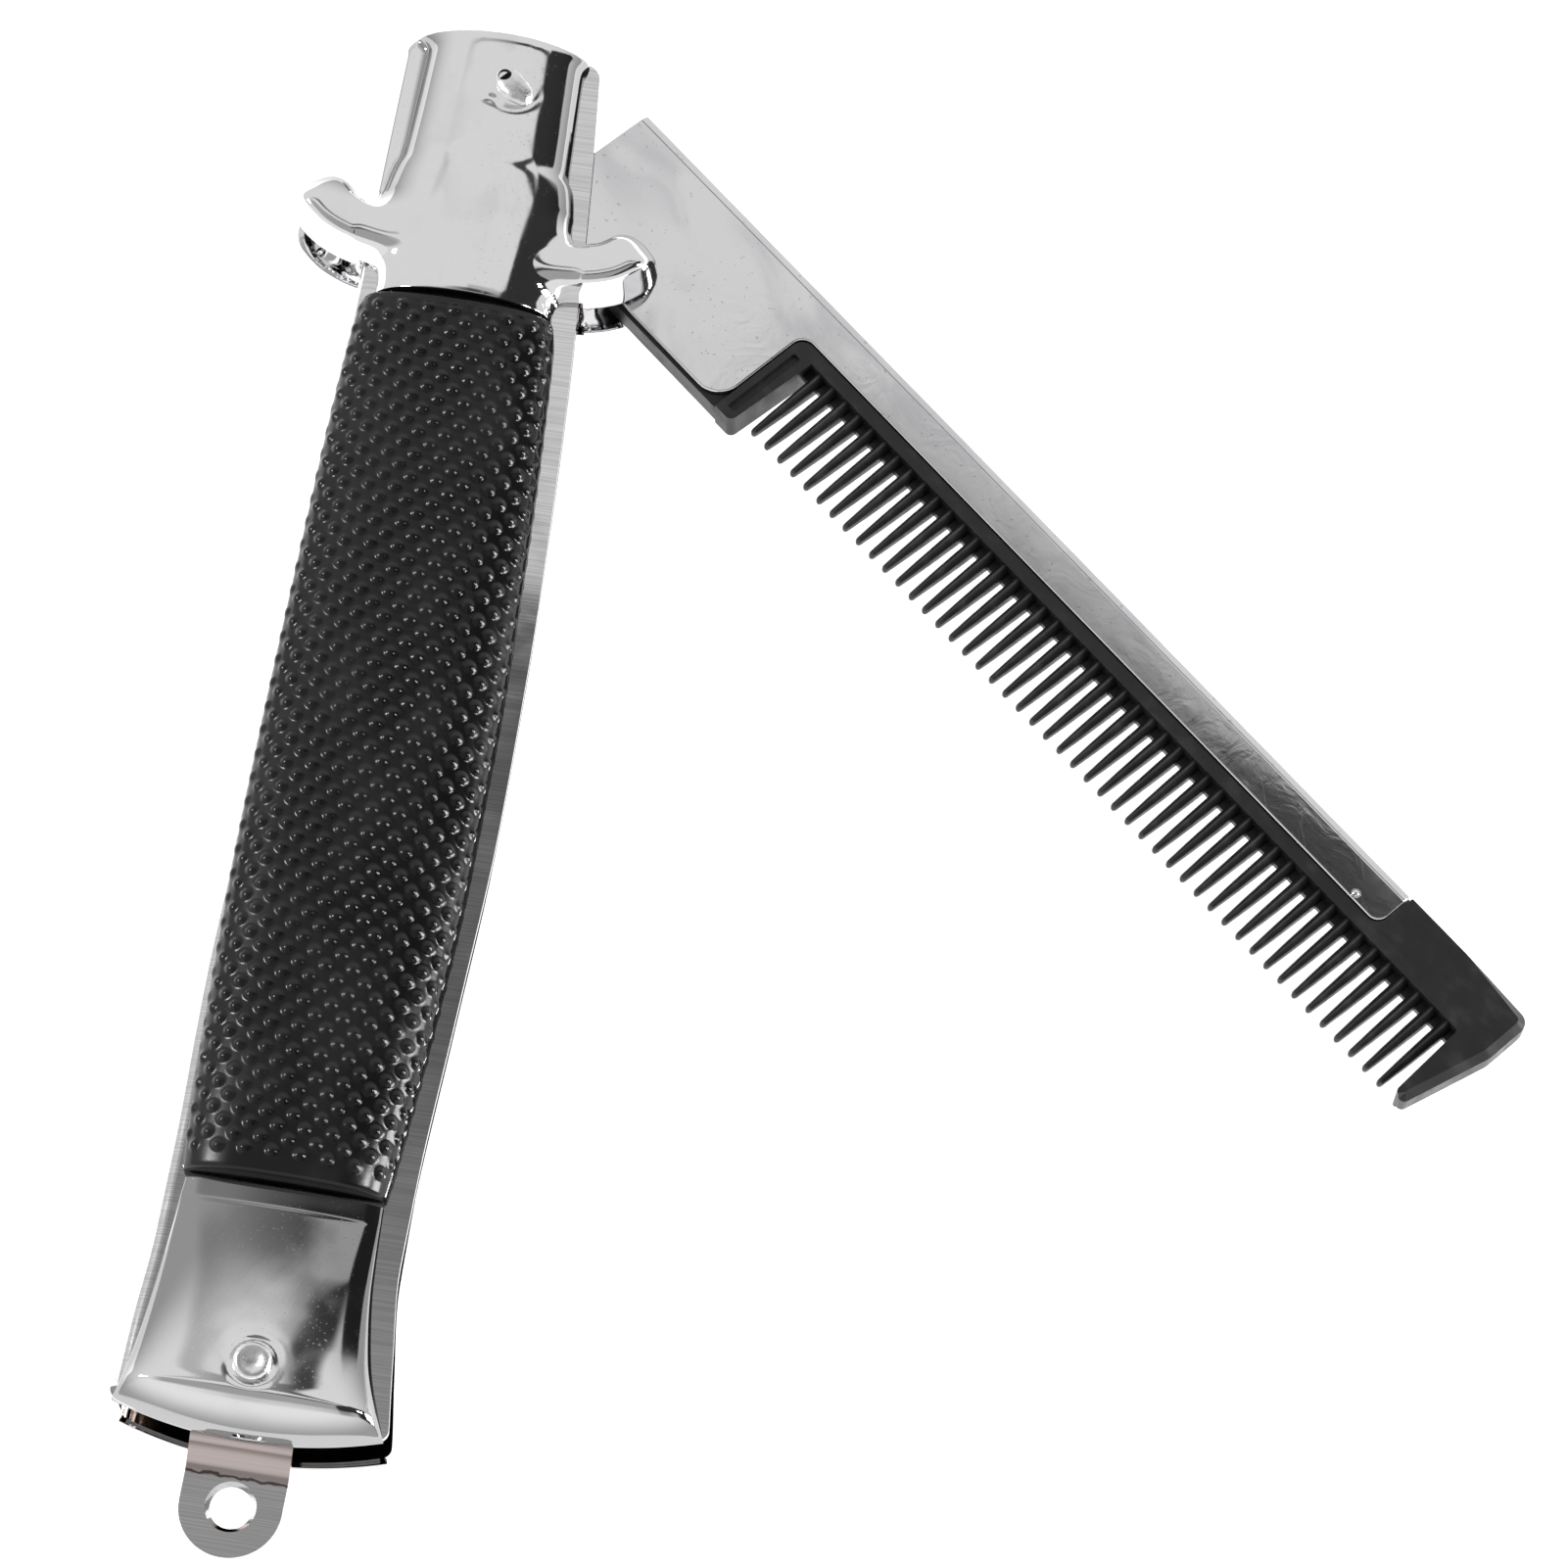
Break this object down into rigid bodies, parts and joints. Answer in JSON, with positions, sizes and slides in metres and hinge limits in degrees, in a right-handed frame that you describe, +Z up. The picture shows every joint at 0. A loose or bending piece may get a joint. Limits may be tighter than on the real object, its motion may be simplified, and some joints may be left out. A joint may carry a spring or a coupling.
{
  "type": "folding comb",
  "caption": "Pocket comb that folds into a stiletto-style handle: steel-backed plastic teeth, chrome bolsters with curled guards, studded black grips and a key-ring lug.",
  "frame": {"origin": "on the pivot's axis, on the flat end of the pivot rivet's back head, which is the lowest face as the comb lies on a table", "axes": "+Y along the handle towards its pivot end, +X to the side that the comb swings out of, +Z up through the front face"},
  "size_m": [0.1046, 0.1253, 0.0132],
  "materials": {
    "steel_sheet": "brushed across the handle",
    "comb_steel": "polished with fine scratches",
    "bolster_chrome": "bright plated",
    "grip_plastic": "gloss black with round bumps",
    "comb_plastic": "satin charcoal",
    "rivet_steel": "bright, peened"
  },
  "bodies": {
    "handle": {"frame": "steel_sheet", "bolster_top_front": "bolster_chrome", "bolster_top_back": "bolster_chrome", "grip_front": "grip_plastic", "grip_back": "grip_plastic", "bolster_bottom_front": "bolster_chrome", "bolster_bottom_back": "bolster_chrome", "pivot_rivet": "rivet_steel", "bottom_rivet_front": "rivet_steel", "bottom_rivet_back": "rivet_steel"},
    "comb": {"comb_spine": "comb_steel", "comb_teeth": "comb_plastic", "tang_arm": "steel_sheet"}
  },
  "joints": [
    {"name": "comb_swing", "type": "hinge", "parent": "handle", "child": "comb", "pos_m": [0, 0, 0.0066], "axis": [0, 0, 1], "range_deg": [-50.2, 129.8]}
  ]
}
